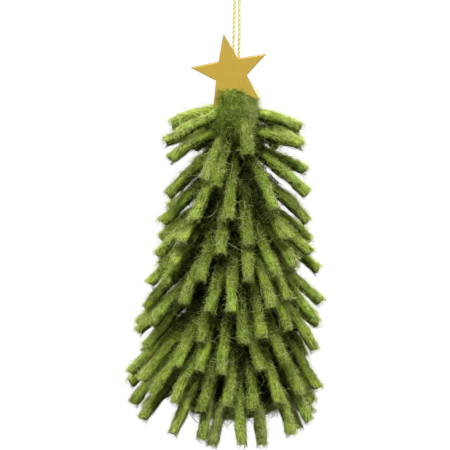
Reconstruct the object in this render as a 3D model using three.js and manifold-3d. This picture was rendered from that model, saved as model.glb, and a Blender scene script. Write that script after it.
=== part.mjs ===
// A hanging Christmas tree made of short cut lengths of felted wool cord, with a gold star at its
// tip and a gold thread loop. Millimetres, +Z up. The origin is where a hook bears on the loop, so
// the tree hangs below it. The front is -Y.
import * as THREE from 'three';
import { mergeVertices } from 'three/addons/utils/BufferGeometryUtils.js';
import Module from 'manifold-3d';

const wasm = await Module();
wasm.setup();

// Core: a foam cone in a felt wrap, closed underneath by a felt disc.
const BASE_RADIUS = 18.7;
const TIP_RADIUS = 4.8;
const TIP_HEIGHT = 120.6;
const DOME_HEIGHT = 8.6;
const WRAP_THICKNESS = 1.8;
const DISC_THICKNESS = 2;
const CORE_SIDES = 32;

// Branches: lengths of felted cord in tiers, each tier stuck down along a line of glue.
const CORD_DIAMETER = 4.7;
const LONG_CORD = 29;
const CORD_SIDES = 8;
const CORD_STEPS = 2;
const GLUE_DIAMETER = 2.6;
const GLUE_DROP = 0.8;
const GLUE_SIDES = 4;
const GLUE_STEP = 14;
const SWAY = -2.2;
const BOW_LEAST = 0.5;
const BOW_MOST = 2;

// One row for each tier from the top: how far up the tree its roots are, then the cords of its four
// sides. A cord is its turn about the tree in degrees from the front towards the right, its droop
// below level in degrees, and its length as a share of a long cord.
const TIERS = [
  { rise: 0.915,
    left: [[-102, 18, 0.65], [-72, 23, 0.61]],
    front: [[-15, 51, 0.92], [24, 56, 0.47]],
    right: [[88, 16, 0.65], [112, 32, 0.65]],
    back: [[172, 25, 0.64], [-142, 25, 0.65]] },
  { rise: 0.8607,
    left: [[-102, 19, 0.69], [-72, 25, 0.69]],
    front: [[-38, 55, 0.6]],
    right: [[76, 12, 0.65], [104, 17, 0.67]],
    back: [[135, 33, 0.68], [174, 25, 0.66], [-142, 36, 0.7]] },
  { rise: 0.8027,
    left: [[-110, 52, 0.78], [-75, 43, 0.8]],
    front: [[-37, 54, 0.9], [-3, 50, 0.83], [38, 44, 0.8]],
    right: [[80, 38, 0.85], [107, 28, 0.78]],
    back: [[124, 37, 0.78], [178, 35, 0.78], [-148, 36, 0.73]] },
  { rise: 0.7148,
    left: [[-118, 43, 0.82], [-88, 45, 0.83]],
    front: [[-46, 48, 0.86], [-11, 53, 0.88], [16, 51, 0.78]],
    right: [[48, 45, 0.84], [88, 39, 0.84], [122, 38, 0.8]],
    back: [[152, 39, 0.82], [-178, 43, 0.82], [-148, 39, 0.78]] },
  { rise: 0.6285,
    left: [[-112, 41, 0.82], [-81, 46, 0.86], [-52, 47, 0.81]],
    front: [[-25, 50, 0.9], [15, 50, 0.88], [36, 49, 0.88]],
    right: [[56, 45, 0.86], [84, 41, 0.88], [108, 37, 0.9]],
    back: [[136, 46, 0.85], [166, 43, 0.84], [-166, 43, 0.81], [-138, 46, 0.81]] },
  { rise: 0.5522,
    left: [[-120, 46, 0.95], [-88, 48, 0.97], [-62, 47, 0.8]],
    front: [[-36, 49, 0.92], [-14, 50, 0.96], [1, 49, 0.95], [31, 49, 0.94]],
    right: [[50, 51, 0.9], [68, 47, 0.64], [97, 38, 0.93]],
    back: [[124, 47, 0.9], [151, 47, 0.96], [178, 47, 0.89], [-150, 48, 0.89]] },
  { rise: 0.4693,
    left: [[-133, 45, 1], [-97, 49, 1], [-61, 49, 1]],
    front: [[-20, 53, 0.98], [9, 49, 1], [24, 49, 0.96]],
    right: [[48, 52, 0.92], [79, 48, 0.98], [97, 42, 1.01]],
    back: [[142, 49, 0.93], [169, 46, 0.96], [-163, 48, 0.98]] },
  { rise: 0.3831,
    left: [[-110, 42, 1.04], [-97, 47, 1], [-70, 49, 0.97]],
    front: [[-36, 53, 0.99], [-20, 51, 0.99], [-4, 54, 1], [21, 51, 0.98]],
    right: [[40, 52, 0.96], [72, 47, 1.02], [100, 43, 0.93]],
    back: [[120, 54, 1], [152, 47, 1], [178, 47, 0.98], [-152, 50, 0.98]] },
  { rise: 0.2711,
    left: [[-112, 46, 0.93], [-86, 47, 1.04], [-70, 49, 0.95], [-53, 52, 1]],
    front: [[-33, 49, 1], [-15, 52, 1.03], [1, 54, 0.94], [17, 50, 1.03]],
    right: [[36, 53, 0.99], [54, 52, 0.97], [79, 52, 1.09]],
    back: [[120, 49, 1], [145, 49, 0.94], [170, 50, 1], [-165, 46, 1], [-140, 49, 0.96]] },
  { rise: 0.1741,
    left: [[-104, 43, 0.97], [-86, 50, 0.98], [-63, 52, 0.98]],
    front: [[-34, 51, 0.98], [-16, 53, 0.97], [9, 52, 1.03]],
    right: [[44, 53, 1.02], [60, 49, 0.97], [82, 52, 0.86]],
    back: [[118, 48, 0.98], [144, 47, 0.93], [170, 47, 0.92], [-164, 50, 0.96], [-138, 48, 0.94]] },
  { rise: 0.0713,
    left: [[-105, 52, 0.64], [-84, 44, 0.55]],
    front: [[-10, 55, 0.61], [29, 56, 0.63]],
    right: [[69, 54, 0.64], [92, 46, 0.68]],
    back: [[132, 54, 0.65], [158, 52, 0.64], [-176, 53, 0.67], [-152, 50, 0.64], [-128, 51, 0.63]] },
];

// Star: a flat five-pointed star that stands astride the tip.
const STAR_RADIUS = 14;
const STAR_NOTCH = 0.41;
const STAR_THICKNESS = 1.6;
const STAR_TURN = 11;
const STAR_LEAN = 6;
const STAR_RISE = 5.1;
const STAR_SHIFT = -1.9;
const STAR_SETBACK = 2.6;

// Loop: one gold cord, doubled, tied in a knot that sits in a dimple behind the star.
const LOOP_DIAMETER = 0.95;
const LOOP_HEIGHT = 50;
const LOOP_SPACING = 1.9;
const LOOP_FOOT_SPACING = 1.05;
const BIGHT_WIDTH = 4.6;
const LOOP_SIDES = 8;
const LOOP_STEPS = 80;
const KNOT_DIAMETER = 2.8;

// Fits
const CLEARANCE = 0.3;
const WELD = 0.0005;

const TAPER_HEIGHT = TIP_HEIGHT - DOME_HEIGHT;
const WRAP_SLOPE = (BASE_RADIUS - TIP_RADIUS) / TAPER_HEIGHT;
const HANG_DROP = TIP_HEIGHT + LOOP_HEIGHT - LOOP_DIAMETER / 2;

const radians = (degrees) => THREE.MathUtils.degToRad(degrees);

// A repeatable number from 0 to 1 for each cord.
function scatter(seed) {
  const value = Math.sin(seed * 12.9898) * 43758.5453;
  return value - Math.floor(value);
}

function wrapRadius(height) {
  return BASE_RADIUS - WRAP_SLOPE * Math.min(height, TAPER_HEIGHT);
}

function toSolid(geometry) {
  geometry.deleteAttribute('normal');
  geometry.deleteAttribute('uv');
  const welded = mergeVertices(geometry, WELD);
  const vertProperties = new Float32Array(welded.attributes.position.array);
  const triVerts = new Uint32Array(welded.index.array);
  return new wasm.Manifold(new wasm.Mesh({ numProp: 3, vertProperties, triVerts }));
}

function toGeometry(solid) {
  const mesh = solid.getMesh();
  const geometry = new THREE.BufferGeometry();
  const places = new Float32Array(mesh.vertProperties);
  const corners = new Uint32Array(mesh.triVerts);
  geometry.setAttribute('position', new THREE.BufferAttribute(places, 3));
  geometry.setIndex(new THREE.BufferAttribute(corners, 1));
  geometry.computeVertexNormals();
  return geometry;
}

function polygon(radius, sides) {
  const shape = new THREE.Shape();
  for (let corner = 0; corner < sides; corner += 1) {
    const angle = (corner + 0.5) * 2 * Math.PI / sides;
    const x = radius * Math.cos(angle);
    const y = radius * Math.sin(angle);
    if (corner === 0) shape.moveTo(x, y);
    else shape.lineTo(x, y);
  }
  shape.closePath();
  return shape;
}

function tube(path, diameter, sides, steps) {
  const section = polygon(diameter / 2, sides);
  return new THREE.ExtrudeGeometry(section, { steps, bevelEnabled: false, extrudePath: path });
}

function turned(profile) {
  const points = profile.map(([radius, height]) => new THREE.Vector2(radius, height));
  const geometry = new THREE.LatheGeometry(points, CORE_SIDES);
  geometry.rotateX(Math.PI / 2);
  return geometry;
}

// The outside of the wrap from the base to the rounded tip.
const wrapOutline = [
  [BASE_RADIUS - WRAP_SLOPE * (DISC_THICKNESS + CLEARANCE), DISC_THICKNESS + CLEARANCE],
  [TIP_RADIUS, TAPER_HEIGHT],
  [TIP_RADIUS * 0.95, TIP_HEIGHT - DOME_HEIGHT * 0.395],
  [TIP_RADIUS * 0.8, TIP_HEIGHT - DOME_HEIGHT * 0.163],
  [TIP_RADIUS * 0.46, TIP_HEIGHT - DOME_HEIGHT * 0.035],
];

function onTree(radius, turn, height) {
  const angle = radians(turn);
  return new THREE.Vector3(radius * Math.sin(angle), -radius * Math.cos(angle), height);
}

function cordPath(tier, [turn, droop, length], seed) {
  const lean = radians(droop);
  const reach = length * LONG_CORD;
  const height = tier.rise * TIP_HEIGHT;
  const wall = wrapRadius(height);
  const root = onTree(wall + CLEARANCE, turn, height - CLEARANCE * Math.tan(lean));
  const tip = onTree(wall + reach * Math.cos(lean), turn, height - reach * Math.sin(lean));
  tip.x += SWAY * (1 - tier.rise);
  const bow = BOW_LEAST + (BOW_MOST - BOW_LEAST) * scatter(seed);
  const rise = onTree(bow * Math.sin(lean), turn, bow * Math.cos(lean));
  const middle = root.clone().lerp(tip, 0.5).add(rise);
  return new THREE.QuadraticBezierCurve3(root, middle, tip);
}

// A length of cord whose root is cut on the slant to lie flat against the wrap.
function cord(path, turn, margin) {
  const geometry = tube(path, CORD_DIAMETER + 2 * margin, CORD_SIDES, CORD_STEPS);
  const along = path.getTangent(0);
  const outward = onTree(1, turn, 0);
  const closing = along.dot(outward) + WRAP_SLOPE * along.z;
  const places = geometry.attributes.position;
  const corner = new THREE.Vector3();
  for (let index = 0; index < places.count; index += 1) {
    corner.fromBufferAttribute(places, index);
    if (Math.abs(corner.clone().sub(path.v0).dot(along)) > WELD) continue;
    const gap = corner.dot(outward) - wrapRadius(corner.z) - CLEARANCE + margin;
    corner.addScaledVector(along, -gap / closing);
    places.setXYZ(index, corner.x, corner.y, corner.z);
  }
  return toSolid(geometry);
}

// A line of glue along the wrap from root to root, just under the cords.
function gluePath(turns, paths) {
  const points = [];
  const pointAt = (turn, height) => {
    const wall = wrapRadius(height - GLUE_DIAMETER / 2);
    points.push(onTree(wall + CLEARANCE + GLUE_DIAMETER / 2, turn, height));
  };
  turns.forEach((turn, place) => {
    const height = paths[place].v0.z - GLUE_DROP;
    pointAt(turn, height);
    if (place === turns.length - 1) return;
    const count = Math.ceil((turns[place + 1] - turn) / GLUE_STEP);
    const rise = paths[place + 1].v0.z - paths[place].v0.z;
    for (let step = 1; step < count; step += 1) {
      pointAt(turn + (turns[place + 1] - turn) * step / count, height + rise * step / count);
    }
  });
  return new THREE.CatmullRomCurve3(points);
}

// The cords of one side of a tier, joined by their line of glue and grown by a margin.
function branchGroup(tier, side, seed, margin) {
  const first = tier[side][0][0];
  const opened = tier[side].map(([turn]) => (turn < first ? turn + 360 : turn));
  const paths = tier[side].map((row, place) => cordPath(tier, row, seed + place));
  const cords = paths.map((path, place) => cord(path, opened[place], margin));
  if (paths.length > 1) {
    const line = gluePath(opened, paths);
    const steps = line.points.length - 1;
    cords.push(toSolid(tube(line, GLUE_DIAMETER + 2 * margin, GLUE_SIDES, steps)));
  }
  return cords.reduce((group, piece) => group.add(piece));
}

function apart(a, b) {
  const p = a.boundingBox();
  const q = b.boundingBox();
  return [0, 1, 2].some((axis) => p.max[axis] < q.min[axis] || q.max[axis] < p.min[axis]);
}

function largest(solid) {
  return solid.decompose().reduce((best, piece) => (piece.volume() > best.volume() ? piece : best));
}

function starShape(margin) {
  const shape = new THREE.Shape();
  for (let corner = 0; corner < 10; corner += 1) {
    const angle = radians(90 + 36 * corner);
    const length = STAR_RADIUS * (corner % 2 === 0 ? 1 : STAR_NOTCH) + margin;
    if (corner === 0) shape.moveTo(length * Math.cos(angle), length * Math.sin(angle));
    else shape.lineTo(length * Math.cos(angle), length * Math.sin(angle));
  }
  shape.closePath();
  return shape;
}

// The star flat on the XY plane, thickened about it.
function starBlank(margin) {
  const depth = STAR_THICKNESS + 2 * margin;
  const blank = new THREE.ExtrudeGeometry(starShape(margin * 2), { depth, bevelEnabled: false });
  blank.translate(0, 0, -depth / 2);
  return blank;
}

const starPlace = new THREE.Group();
starPlace.position.set(STAR_SHIFT, -STAR_SETBACK - STAR_THICKNESS / 2, TIP_HEIGHT + STAR_RISE);
starPlace.rotation.x = radians(90 - STAR_LEAN);

function felt(color) {
  return new THREE.MeshStandardMaterial({ color, roughness: 0.95, metalness: 0 });
}

function addPiece(parent, name, geometry, material) {
  const mesh = new THREE.Mesh(geometry, material);
  mesh.name = name;
  parent.add(mesh);
  return mesh;
}

const ornament = new THREE.Group();
ornament.name = 'felt_tree_ornament';
const tree = new THREE.Group();
tree.name = 'tree';
tree.position.z = -HANG_DROP;
ornament.add(tree);

// Star
const starTurn = new THREE.Matrix4().makeRotationZ(radians(STAR_TURN));
addPiece(starPlace, 'star', starBlank(0).applyMatrix4(starTurn), new THREE.MeshStandardMaterial({
  color: 0xc6a945,
  roughness: 0.5,
  metalness: 0.2,
}));
tree.add(starPlace);
starPlace.updateMatrix();
const starCutter = toSolid(starBlank(CLEARANCE).applyMatrix4(starTurn).applyMatrix4(starPlace.matrix));

// Core
const knotCentre = new THREE.Vector3(0, 0, TIP_HEIGHT);
const dimple = new THREE.SphereGeometry(KNOT_DIAMETER / 2 + CLEARANCE, 16, 10);
dimple.translate(knotCentre.x, knotCentre.y, knotCentre.z);
const innerBase = BASE_RADIUS - WRAP_THICKNESS;
const innerTip = TIP_RADIUS - WRAP_THICKNESS;
const wrapBottom = DISC_THICKNESS + CLEARANCE;
const wrapProfile = [
  [innerBase, wrapBottom],
  ...wrapOutline,
  [0, TIP_HEIGHT],
  [0, TAPER_HEIGHT - WRAP_THICKNESS],
  [innerTip, TAPER_HEIGHT - 2 * WRAP_THICKNESS],
  [innerBase, wrapBottom],
];
const wrap = toSolid(turned(wrapProfile)).subtract(starCutter).subtract(toSolid(dimple));
addPiece(tree, 'core_wrap', toGeometry(wrap), felt(0x4a5a24));

const foamProfile = [
  [0, wrapBottom],
  [innerBase - CLEARANCE, wrapBottom],
  [innerTip - CLEARANCE, TAPER_HEIGHT - 2 * WRAP_THICKNESS - CLEARANCE],
  [0, TAPER_HEIGHT - WRAP_THICKNESS - 2 * CLEARANCE],
];
const foam = toSolid(turned(foamProfile));
addPiece(tree, 'foam_core', toGeometry(foam), new THREE.MeshStandardMaterial({
  color: 0xe9ebe4,
  roughness: 0.9,
  metalness: 0,
}));

const disc = turned([[0, 0], [BASE_RADIUS, 0], [BASE_RADIUS, DISC_THICKNESS], [0, DISC_THICKNESS]]);
addPiece(tree, 'base_disc', toGeometry(toSolid(disc)), felt(0x54622a));

// Branches: each group gives way to the star and to the groups above it.
const placed = [starCutter];
const SIDES = ['left', 'front', 'right', 'back'];
const GREENS = [0x7c9440, 0x748c3a, 0x6c8436, 0x78903c];
TIERS.forEach((tier, level) => {
  SIDES.forEach((side, quarter) => {
    const seed = 1 + level * 16 + quarter * 4;
    let group = branchGroup(tier, side, seed, 0);
    placed.filter((other) => !apart(group, other)).forEach((other) => {
      group = group.subtract(other);
    });
    const name = `tier_${String(level + 1).padStart(2, '0')}_${side}`;
    const green = GREENS[(level + quarter) % GREENS.length];
    addPiece(tree, name, toGeometry(largest(group)), felt(green));
    placed.push(branchGroup(tier, side, seed, CLEARANCE));
  });
});

// Loop and knot
const gold = { color: 0xd9c568, roughness: 0.4, metalness: 0.7 };
const knot = new THREE.SphereGeometry(KNOT_DIAMETER / 2, 14, 9);
knot.rotateX(Math.PI / 2);
const knotShape = toGeometry(toSolid(knot));
const knotMesh = addPiece(tree, 'loop_knot', knotShape, new THREE.MeshStandardMaterial(gold));
knotMesh.position.copy(knotCentre);

const footHeight = TIP_HEIGHT + KNOT_DIAMETER / 2 + CLEARANCE;
const bightHeight = TIP_HEIGHT + LOOP_HEIGHT;
const strand = [
  [LOOP_FOOT_SPACING / 2, footHeight],
  [LOOP_SPACING / 2, footHeight + LOOP_HEIGHT * 0.25],
  [LOOP_SPACING / 2, footHeight + LOOP_HEIGHT * 0.66],
  [BIGHT_WIDTH * 0.44, bightHeight - BIGHT_WIDTH],
  [BIGHT_WIDTH * 0.5, bightHeight - BIGHT_WIDTH * 0.5],
  [BIGHT_WIDTH * 0.34, bightHeight - BIGHT_WIDTH * 0.14],
];
const route = [
  ...strand.map(([x, z]) => new THREE.Vector3(-x, 0, z)),
  new THREE.Vector3(0, 0, bightHeight),
  ...strand.map(([x, z]) => new THREE.Vector3(x, 0, z)).reverse(),
];
const loop = tube(new THREE.CatmullRomCurve3(route), LOOP_DIAMETER, LOOP_SIDES, LOOP_STEPS);
addPiece(tree, 'hanging_cord', loop, new THREE.MeshStandardMaterial(gold));

export default ornament;
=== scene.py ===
"""A hanging tree of cut felted wool cords, with a gold star at its tip and a loop of gold thread."""

import math

import bpy
import numpy as np
from bpy.props import FloatProperty, FloatVectorProperty, IntProperty, PointerProperty
from mathutils import Matrix, Vector


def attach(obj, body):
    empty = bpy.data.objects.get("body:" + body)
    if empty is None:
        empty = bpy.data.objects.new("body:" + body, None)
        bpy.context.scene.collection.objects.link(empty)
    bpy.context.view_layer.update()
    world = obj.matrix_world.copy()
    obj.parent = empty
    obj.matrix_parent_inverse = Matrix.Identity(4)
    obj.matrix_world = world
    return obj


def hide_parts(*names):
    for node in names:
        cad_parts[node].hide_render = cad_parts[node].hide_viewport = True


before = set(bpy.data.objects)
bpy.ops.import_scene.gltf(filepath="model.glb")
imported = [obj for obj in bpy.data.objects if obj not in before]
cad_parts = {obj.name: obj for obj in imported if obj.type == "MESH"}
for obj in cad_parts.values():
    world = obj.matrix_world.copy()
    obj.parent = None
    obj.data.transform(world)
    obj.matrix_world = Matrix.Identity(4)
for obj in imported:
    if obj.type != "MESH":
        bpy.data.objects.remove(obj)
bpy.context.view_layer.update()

bl_info = {
    "name": "Felt Tree Ornament",
    "version": (1, 0, 0),
    "blender": (4, 5, 0),
    "location": "3D View > Sidebar > Ornament",
    "description": "Builds the wool cords, core, star, thread loop and stage of a hanging felt tree",
    "category": "Object",
}

MM = 0.001
TAU = 2 * math.pi
WHITE = (1, 1, 1, 1)

# Each piece has one map of its own, under this name.
WHOLE_MAP = "OFBake"

# Sizes of the solids, in metres and degrees. Heights are above the underside of the base.
HANG_DROP = 170.125 * MM
BASE_RADIUS = 18.7 * MM
TIP_RADIUS = 4.8 * MM
TIP_HEIGHT = 120.6 * MM
DOME_HEIGHT = 8.6 * MM
TAPER_HEIGHT = TIP_HEIGHT - DOME_HEIGHT
DISC_THICKNESS = 2 * MM
LONG_CORD = 29 * MM
CLEARANCE = 0.3 * MM
SWAY = -2.2 * MM
BOW_LEAST = 0.5 * MM
BOW_MOST = 2 * MM
STAR_NOTCH = 0.41
STAR_TURN = 11
STAR_LEAN = 6
STAR_PLACE = (-1.9 * MM, -3.4 * MM, 125.7 * MM)
KNOT_RADIUS = 1.4 * MM

# One row for each tier from the top: its roots' share of the tip height, then the cords of its left,
# front, right and back. A cord is its turn from the front towards the right, its droop below level
# and its share of a long cord.
SIDES = ("left", "front", "right", "back")
TIERS = [
    (
        0.915,
        [(-102, 18, 0.65), (-72, 23, 0.61)],
        [(-15, 51, 0.92), (24, 56, 0.47)],
        [(88, 16, 0.65), (112, 32, 0.65)],
        [(172, 25, 0.64), (-142, 25, 0.65)],
    ),
    (
        0.8607,
        [(-102, 19, 0.69), (-72, 25, 0.69)],
        [(-38, 55, 0.6)],
        [(76, 12, 0.65), (104, 17, 0.67)],
        [(135, 33, 0.68), (174, 25, 0.66), (-142, 36, 0.7)],
    ),
    (
        0.8027,
        [(-110, 52, 0.78), (-75, 43, 0.8)],
        [(-37, 54, 0.9), (-3, 50, 0.83), (38, 44, 0.8)],
        [(80, 38, 0.85), (107, 28, 0.78)],
        [(124, 37, 0.78), (178, 35, 0.78), (-148, 36, 0.73)],
    ),
    (
        0.7148,
        [(-118, 43, 0.82), (-88, 45, 0.83)],
        [(-46, 48, 0.86), (-11, 53, 0.88), (16, 51, 0.78)],
        [(48, 45, 0.84), (88, 39, 0.84), (122, 38, 0.8)],
        [(152, 39, 0.82), (-178, 43, 0.82), (-148, 39, 0.78)],
    ),
    (
        0.6285,
        [(-112, 41, 0.82), (-81, 46, 0.86), (-52, 47, 0.81)],
        [(-25, 50, 0.9), (15, 50, 0.88), (36, 49, 0.88)],
        [(56, 45, 0.86), (84, 41, 0.88), (108, 37, 0.9)],
        [(136, 46, 0.85), (166, 43, 0.84), (-166, 43, 0.81), (-138, 46, 0.81)],
    ),
    (
        0.5522,
        [(-120, 46, 0.95), (-88, 48, 0.97), (-62, 47, 0.8)],
        [(-36, 49, 0.92), (-14, 50, 0.96), (1, 49, 0.95), (31, 49, 0.94)],
        [(50, 51, 0.9), (68, 47, 0.64), (97, 38, 0.93)],
        [(124, 47, 0.9), (151, 47, 0.96), (178, 47, 0.89), (-150, 48, 0.89)],
    ),
    (
        0.4693,
        [(-133, 45, 1), (-97, 49, 1), (-61, 49, 1)],
        [(-20, 53, 0.98), (9, 49, 1), (24, 49, 0.96)],
        [(48, 52, 0.92), (79, 48, 0.98), (97, 42, 1.01)],
        [(142, 49, 0.93), (169, 46, 0.96), (-163, 48, 0.98)],
    ),
    (
        0.3831,
        [(-110, 42, 1.04), (-97, 47, 1), (-70, 49, 0.97)],
        [(-36, 53, 0.99), (-20, 51, 0.99), (-4, 54, 1), (21, 51, 0.98)],
        [(40, 52, 0.96), (72, 47, 1.02), (100, 43, 0.93)],
        [(120, 54, 1), (152, 47, 1), (178, 47, 0.98), (-152, 50, 0.98)],
    ),
    (
        0.2711,
        [(-112, 46, 0.93), (-86, 47, 1.04), (-70, 49, 0.95), (-53, 52, 1)],
        [(-33, 49, 1), (-15, 52, 1.03), (1, 54, 0.94), (17, 50, 1.03)],
        [(36, 53, 0.99), (54, 52, 0.97), (79, 52, 1.09)],
        [(120, 49, 1), (145, 49, 0.94), (170, 50, 1), (-165, 46, 1), (-140, 49, 0.96)],
    ),
    (
        0.1741,
        [(-104, 43, 0.97), (-86, 50, 0.98), (-63, 52, 0.98)],
        [(-34, 51, 0.98), (-16, 53, 0.97), (9, 52, 1.03)],
        [(44, 53, 1.02), (60, 49, 0.97), (82, 52, 0.86)],
        [(118, 48, 0.98), (144, 47, 0.93), (170, 47, 0.92), (-164, 50, 0.96), (-138, 48, 0.94)],
    ),
    (
        0.0713,
        [(-105, 52, 0.64), (-84, 44, 0.55)],
        [(-10, 55, 0.61), (29, 56, 0.63)],
        [(69, 54, 0.64), (92, 46, 0.68)],
        [(132, 54, 0.65), (158, 52, 0.64), (-176, 53, 0.67), (-152, 50, 0.64), (-128, 51, 0.63)],
    ),
]

# One strand of the thread loop from its foot to the top of the bight, as x and z in metres.
STRAND = np.array([
    (0.000525, -0.047825),
    (0.00095, -0.035325),
    (0.00095, -0.014825),
    (0.002024, -0.004125),
    (0.0023, -0.001825),
    (0.001564, -0.000169),
    (0, 0.000475),
])

# A cord's mesh: points round it, rings along its body, how deep its root sits in the core, the length of
# its cut end, the share of its radius at its first and last rings, and how far each of the last rings
# belongs to the cut.
CORD_COLUMNS = 20
CORD_RINGS = 20
ROOT_SUNK = 1.3 * MM
END_LENGTH = 1.3 * MM
ROOT_TAPER = [0.5, 0.62, 0.78, 0.9, 0.97]
END_TAPER = [0.98, 0.92, 0.82, 0.68, 0.43, 0.18]
END_CUT = [0.15, 0.5, 0.9, 1, 1]

# The core's mesh: points round it, and rings up its cone and its dome.
CORE_COLUMNS = 72
CONE_RINGS = 46
DOME_RINGS = 11

# Wool that is wound round the core. Each row has its number of fibres, the ranges of their heights,
# lengths and lifts in millimetres, how much their slope varies in radians, how much painted light pales
# them, how stout they are, and whether they keep to the left and right of the core.
WINDINGS = {
    "dome": (1100, (107, 119.5), (3, 8), (0.1, 1.1), 0.7, 0.35, 1, False),
    "cone": (1600, (3, 107), (3, 9), (0.1, 1.2), 1.2, 0, 1, False),
    "collar": (800, (84, 111), (4, 8), (0.4, 2.6), 1.2, 0, 1, False),
    "base": (2200, (-0.2, 3.2), (2, 6), (0.1, 1.6), 0.7, 0.6, 1.3, False),
    "tangle": (3400, (8, 86), (5, 12), (1.5, 9.5), 1.2, 0, 2, False),
    "fill": (800, (64, 100), (4, 9), (1, 5), 1.1, 0, 2, True),
    "gusset": (700, (98, 107), (3, 7), (1.5, 5.5), 1, 0, 1.6, True),
}

# How many fibres the tuft, the wisps of the tip and the loose hairs have, and the hairs' shades.
TUFT_COUNT = 2300
TIP_WISP_COUNT = 2400
LOOSE_HAIR_COUNT = 56
LOOSE_HAIR_SHADES = (0.84, 0.9)

# Where the random draws of the core, of the loose hairs and of the first tier start.
CORE_SEED = 7
HAIR_SEED = 23
TIER_SEED = 100

# A depth in shade that no fibre has by its place: it marks one of a faded brown patch.
FADED = 9.0

# The camera's rise and roll in degrees, the height that it aims at, and how far its view lies off that.
CAMERA_RISE = 19
CAMERA_ROLL = -0.8
AIM_HEIGHT = 66 * MM
AIM_LEFT = 3.06 * MM
AIM_UP = 2.16 * MM
SENSOR = 36

# Each lamp's place in metres and its width, and the height on the tree that they all face.
LAMPS = {
    "top": ((-0.02, -0.42, 0.74), 0.5),
    "back": ((0, 0.45, 0.75), 0.6),
    "front": ((-0.25, -0.8, 0.1), 0.3),
}
LAMP_AIM = 60 * MM

# Half the floor's width in metres, and the cells along each of its sides.
FLOOR_HALF = 4
FLOOR_CELLS = 8


class FeltSettings(bpy.types.PropertyGroup):
    """Sizes and colours of the felted wool."""

    cord_diameter: FloatProperty(
        name="Cord diameter", description="Thickness of the felted cord", default=0.0037, unit="LENGTH"
    )
    lumpiness: FloatProperty(
        name="Lumpiness", description="How uneven the cord's thickness is", default=0.13, subtype="FACTOR"
    )
    fuzz_count: IntProperty(
        name="Fuzz", description="Short standing fibres on each cord", default=900, min=0
    )
    fuzz_length: FloatProperty(
        name="Fuzz length", description="Length of a usual standing fibre", default=0.0015, unit="LENGTH"
    )
    wisp_count: IntProperty(
        name="Wisps", description="Long standing fibres on each cord", default=200, min=0
    )
    hair_count: IntProperty(
        name="Hairs", description="Longer fibres that lie along each cord", default=100, min=0
    )
    fray_count: IntProperty(
        name="Frays", description="Fibres that stick out of each cut end", default=70, min=0
    )
    fibre_radius: FloatProperty(
        name="Fibre radius", description="Radius of a fibre at its thickest", default=0.00005, unit="LENGTH"
    )
    # Light and deep green are the wool's own tones; painted shade also takes fibres to the deep green and
    # darker.
    light: FloatVectorProperty(
        name="Light green", description="Top of the wool", default=(0.415, 0.575, 0.058), subtype="COLOR"
    )
    deep: FloatVectorProperty(
        name="Deep green", description="Between the fibres", default=(0.013, 0.038, 0.0015), subtype="COLOR"
    )
    straw: FloatVectorProperty(
        name="Straw", description="Pale fibres in the wool", default=(0.72, 0.83, 0.22), subtype="COLOR"
    )
    brown: FloatVectorProperty(
        name="Brown", description="Faded patches in the wool", default=(0.15, 0.1, 0.03), subtype="COLOR"
    )


class StarSettings(bpy.types.PropertyGroup):
    """Sizes and colours of the star."""

    radius: FloatProperty(
        name="Radius", description="Centre to point", default=0.014, unit="LENGTH"
    )
    thickness: FloatProperty(
        name="Thickness", description="Thickness of the wood", default=0.0016, unit="LENGTH"
    )
    edge_round: FloatProperty(
        name="Edge round", description="Radius of the worn edge", default=0.0003, unit="LENGTH"
    )
    gold: FloatVectorProperty(
        name="Gold", description="Satin paint", default=(0.585, 0.414, 0.043), subtype="COLOR"
    )
    brown: FloatVectorProperty(
        name="Edge brown", description="Bare cut edge", default=(0.16, 0.105, 0.025), subtype="COLOR"
    )


class ThreadSettings(bpy.types.PropertyGroup):
    """Sizes and colours of the thread loop."""

    diameter: FloatProperty(
        name="Diameter", description="Thickness of the doubled twist", default=0.001, unit="LENGTH"
    )
    pitch: FloatProperty(
        name="Twist pitch", description="Length of one turn of the twist", default=0.0034, unit="LENGTH"
    )
    gold: FloatVectorProperty(
        name="Gold", description="Bright side of the thread", default=(0.98, 0.93, 0.42), subtype="COLOR"
    )
    # The shade is a painted shade of the gold, on the darker filaments.
    shade: FloatVectorProperty(
        name="Shade", description="Dark side of the thread", default=(0.82, 0.71, 0.19), subtype="COLOR"
    )


class StageSettings(bpy.types.PropertyGroup):
    """Floor, light and camera."""

    floor_gap: FloatProperty(
        name="Floor gap", description="Floor below the tree", default=0.6, unit="LENGTH"
    )
    distance: FloatProperty(
        name="Camera distance", description="Camera to the tree", default=0.8, unit="LENGTH"
    )
    width: FloatProperty(
        name="View width", description="Width of the view at the tree", default=0.162, unit="LENGTH"
    )
    top_light: FloatProperty(
        name="Top light", description="Power of the lamp above", default=10.8, unit="POWER"
    )
    back_light: FloatProperty(
        name="Back light", description="Power of the lamp above and behind", default=11, unit="POWER"
    )
    front_light: FloatProperty(
        name="Front light", description="Power of the lamp in front", default=0.85, unit="POWER"
    )


def unit(vectors):
    """Vectors divided by their own lengths."""
    return vectors / np.maximum(np.linalg.norm(vectors, axis=-1, keepdims=True), 1e-12)


def on_tree(radius, turn, height):
    """Points at a radius from the tree's axis, turned from the front towards the right, at a height."""
    radius, turn, height = np.broadcast_arrays(radius, turn, height)
    return np.stack([radius * np.sin(turn), -radius * np.cos(turn), height - HANG_DROP], -1)


def wrap_radius(height):
    """The cone's radius: it shrinks in proportion to height, from the base to where the dome starts."""
    share = np.minimum(height, TAPER_HEIGHT) / TAPER_HEIGHT
    return BASE_RADIUS + (TIP_RADIUS - BASE_RADIUS) * share


def scatter(seed):
    """A repeatable number from 0 to 1: the fraction left of a large multiple of a sine."""
    value = np.sin(seed * 12.9898) * 43758.5453
    return value - np.floor(value)


def run_along(line):
    """How far along a line each of its points is: the sum of the steps up to it."""
    return np.concatenate([[0], np.cumsum(np.linalg.norm(np.diff(line, axis=0), axis=1))])


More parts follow.
